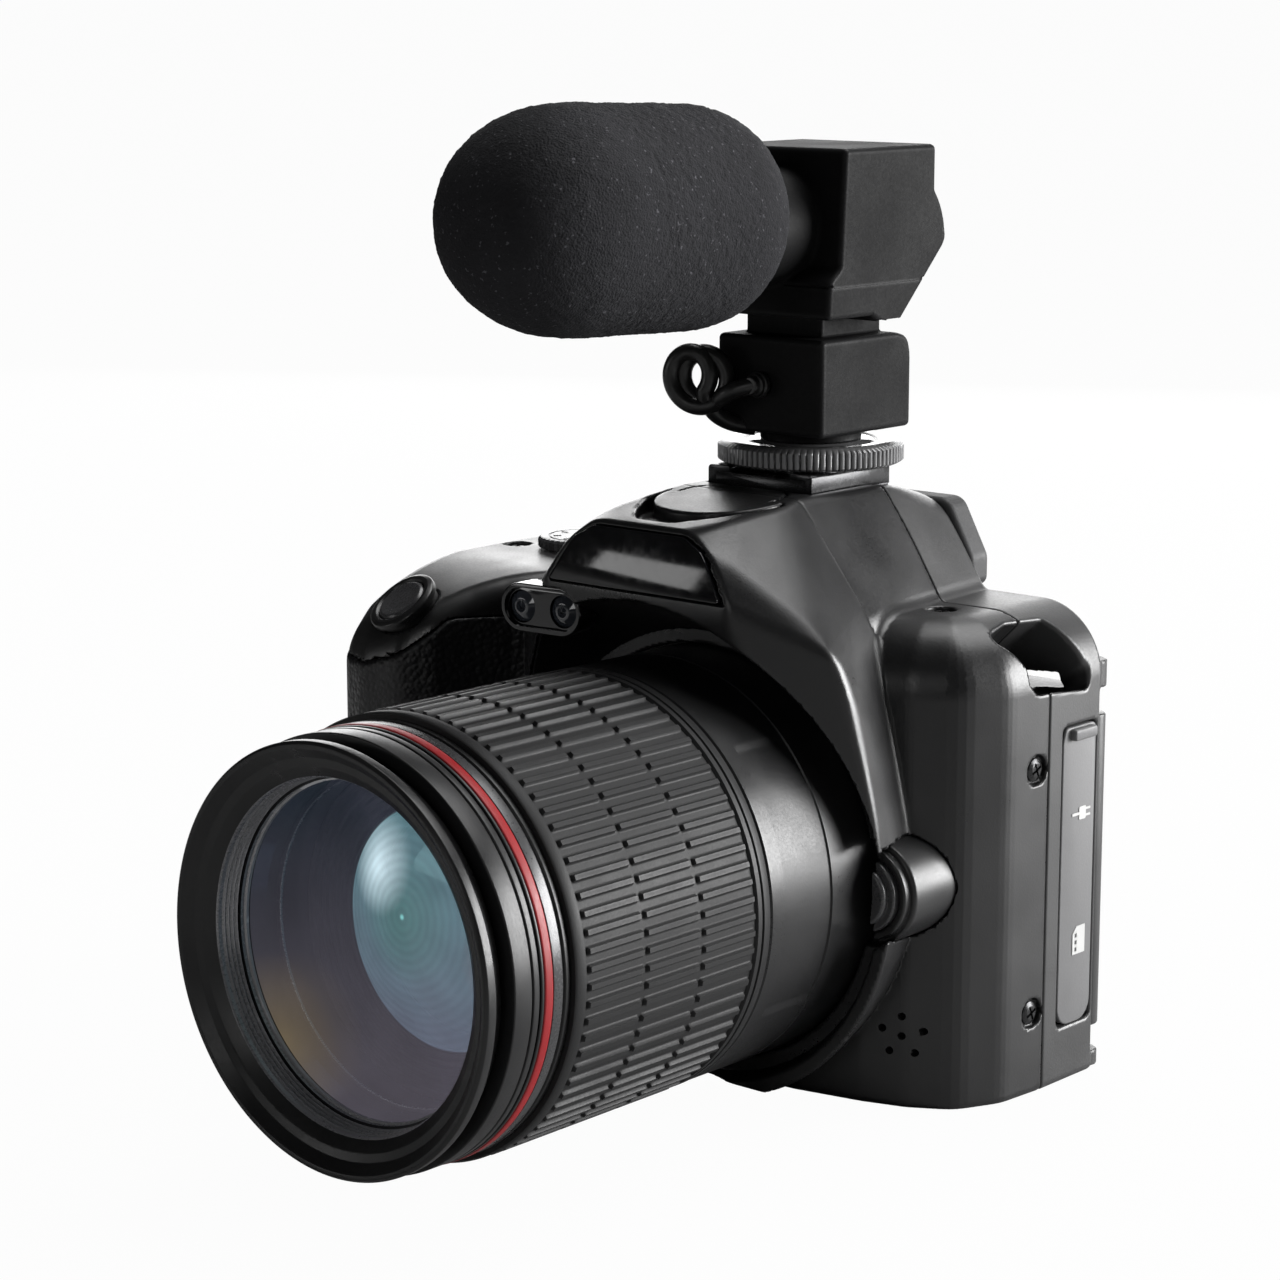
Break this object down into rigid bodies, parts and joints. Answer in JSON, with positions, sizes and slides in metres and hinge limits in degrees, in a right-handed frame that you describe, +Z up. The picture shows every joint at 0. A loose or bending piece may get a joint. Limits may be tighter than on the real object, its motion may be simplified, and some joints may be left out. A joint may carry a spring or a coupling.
{
  "type": "interchangeable-lens camera with microphone",
  "caption": "Hand-held still camera with a grip, a large zoom lens, a swing-out screen and a foam-covered microphone clamped in the accessory shoe on top.",
  "frame": {"origin": "centre of the tripod socket's mouth, in the plane of the base", "axes": "+Z up, -Y forwards along the lens axis to the front rim, +X to the viewer's right when facing the lens, towards the side with the port door"},
  "size_m": [0.1112, 0.1355, 0.1615],
  "materials": {
    "body_black": "fine grained moulded black, satin",
    "rear_black": "fine grained moulded black, satin",
    "leather": "pebbled black grip covering",
    "badge": "polished blank plate",
    "shoe_metal": "dark anodised folded plate",
    "soft_rubber": "matt soft rubber",
    "window_glass": "clear window",
    "lens_glass_front": "coated, purple and amber reflections",
    "lens_glass_inner": "coated, green reflections",
    "button_black": "satin black keys",
    "door_grey": "satin dark grey door",
    "steel": "plain steel pins and screws",
    "brass": "turned brass insert",
    "board_green": "coated circuit board",
    "sensor": "iridescent sensor face",
    "chassis_metal": "stamped plate",
    "card": "dark blue case",
    "battery": "dark grey case",
    "screen_face": "black display glass",
    "lens_black": "satin black enamel",
    "lens_grey": "dark grey anodised",
    "accent_red": "gloss red line",
    "grip_rubber": "raised ribs, satin rubber",
    "wheel_metal": "knurled, shiny ribs",
    "mic_black": "fine grained black",
    "capsule_metal": "perforated tube",
    "foam": "open-cell charcoal foam",
    "cable_black": "smooth black lead"
  },
  "bodies": {
    "camera": {"front_cover": "body_black", "rear_cover": "rear_black", "grip_skin": "leather", "name_badge": "badge", "accessory_shoe": "shoe_metal", "eyecup": "soft_rubber", "eyepiece_glass": "window_glass", "lamp_bezel": "body_black", "lamp_lenses": "window_glass", "strap_pin": "steel", "shutter_collar": "button_black", "release_housing": "body_black", "port_sockets": "steel", "memory_card": "card", "battery": "battery", "door_pin": "steel", "main_board": "board_green", "sensor_board": "board_green", "image_sensor": "sensor", "speaker": "mic_black", "chassis": "chassis_metal", "tripod_socket": "brass", "case_screws": "steel", "screen_pins": "steel", "front_bezel": "lens_black", "front_element": "lens_glass_front", "lens_tube": "lens_grey", "accent_ring": "accent_red", "lens_barrel": "lens_black", "aperture_plate": "lens_black"},
    "shutter_key": {"shutter_button": "button_black"},
    "mode_wheel": {"mode_dial": "button_black"},
    "release_key": {"release_button": "button_black"},
    "side_door": {"port_door": "door_grey"},
    "power_cover": {"battery_door": "body_black"},
    "screen": {"screen_housing": "rear_black", "screen_panel": "screen_face"},
    "power_key": {"power_button": "button_black"},
    "menu_key": {"menu_button": "button_black"},
    "play_key": {"play_button": "button_black"},
    "pad_key": {"pad_ring": "button_black"},
    "ok_key": {"ok_button": "button_black"},
    "zoom_grip": {"zoom_ring": "grip_rubber"},
    "zoom_group": {"zoom_cell": "lens_black", "zoom_element": "lens_glass_inner"},
    "focus_grip": {"focus_ring": "lens_grey"},
    "focus_group": {"focus_cell": "lens_black", "focus_element": "lens_glass_inner"},
    "microphone": {"mic_foot": "shoe_metal", "mic_base": "mic_black", "mic_body": "mic_black", "mic_capsule": "capsule_metal", "mic_cable": "cable_black"},
    "lock_disc": {"lock_wheel": "wheel_metal"},
    "foam_cover": {"windscreen": "foam"},
    "switch_key": {"mic_switch": "button_black"}
  },
  "joints": [
    {"name": "shutter_press", "type": "slide", "parent": "camera", "child": "shutter_key", "axis": [0.1507, 0.6027, -0.7836], "range_m": [0, 0.0012], "stiffness_N_per_m": 60},
    {"name": "mode_dial_turn", "type": "hinge", "parent": "camera", "child": "mode_wheel", "pos_m": [-0.044, -0.006, 0.083], "axis": [0, 0, 1], "continuous": true},
    {"name": "release_press", "type": "slide", "parent": "camera", "child": "release_key", "axis": [0, 1, 0], "range_m": [0, 0.002], "stiffness_N_per_m": 60},
    {"name": "port_door_swing", "type": "hinge", "parent": "camera", "child": "side_door", "pos_m": [0.048, 0.0127, 0.0094], "axis": [0, 1, 0], "range_deg": [0, 100]},
    {"name": "battery_door_swing", "type": "hinge", "parent": "camera", "child": "power_cover", "pos_m": [-0.0571, -0.0298, 0.0014], "axis": [0, 1, 0], "range_deg": [0, 90]},
    {"name": "screen_swing", "type": "hinge", "parent": "camera", "child": "screen", "pos_m": [0.0448, 0.0199, 0.03425], "axis": [0, 0, -1], "range_deg": [0, 150]},
    {"name": "power_press", "type": "slide", "parent": "camera", "child": "power_key", "axis": [0, -1, 0], "range_m": [0, 0.0008], "stiffness_N_per_m": 60},
    {"name": "menu_press", "type": "slide", "parent": "camera", "child": "menu_key", "axis": [0, -1, 0], "range_m": [0, 0.0008], "stiffness_N_per_m": 60},
    {"name": "play_press", "type": "slide", "parent": "camera", "child": "play_key", "axis": [0, -1, 0], "range_m": [0, 0.0008], "stiffness_N_per_m": 60},
    {"name": "pad_press", "type": "slide", "parent": "camera", "child": "pad_key", "axis": [0, -1, 0], "range_m": [0, 0.0008], "stiffness_N_per_m": 60},
    {"name": "ok_press", "type": "slide", "parent": "camera", "child": "ok_key", "axis": [0, -1, 0], "range_m": [0, 0.0008], "stiffness_N_per_m": 60},
    {"name": "zoom_turn", "type": "hinge", "parent": "camera", "child": "zoom_grip", "pos_m": [0, -0.0725, 0.0385], "axis": [0, 1, 0], "range_deg": [0, 70]},
    {"name": "zoom_travel", "type": "slide", "parent": "camera", "child": "zoom_group", "axis": [0, 1, 0], "range_m": [0, 0.0125]},
    {"name": "focus_turn", "type": "hinge", "parent": "camera", "child": "focus_grip", "pos_m": [0, -0.104, 0.0385], "axis": [0, 1, 0], "range_deg": [0, 120]},
    {"name": "focus_travel", "type": "slide", "parent": "camera", "child": "focus_group", "axis": [0, 1, 0], "range_m": [0, 0.0064]},
    {"name": "microphone_slide", "type": "slide", "parent": "camera", "child": "microphone", "axis": [0, 1, 0], "range_m": [0, 0.04]},
    {"name": "lock_wheel_turn", "type": "hinge", "parent": "microphone", "child": "lock_disc", "pos_m": [0.0003, 0.0012, 0.1027], "axis": [0, 0, 1], "continuous": true},
    {"name": "windscreen_pull", "type": "slide", "parent": "microphone", "child": "foam_cover", "axis": [0, -1, 0], "range_m": [0, 0.08]},
    {"name": "mic_switch_slide", "type": "slide", "parent": "microphone", "child": "switch_key", "axis": [1, 0, 0], "range_m": [0, 0.004]}
  ],
  "couplings": [
    {"joint": "zoom_travel", "follows": "zoom_turn", "m_per_rad": 0.01},
    {"joint": "focus_travel", "follows": "focus_turn", "m_per_rad": 0.003}
  ]
}
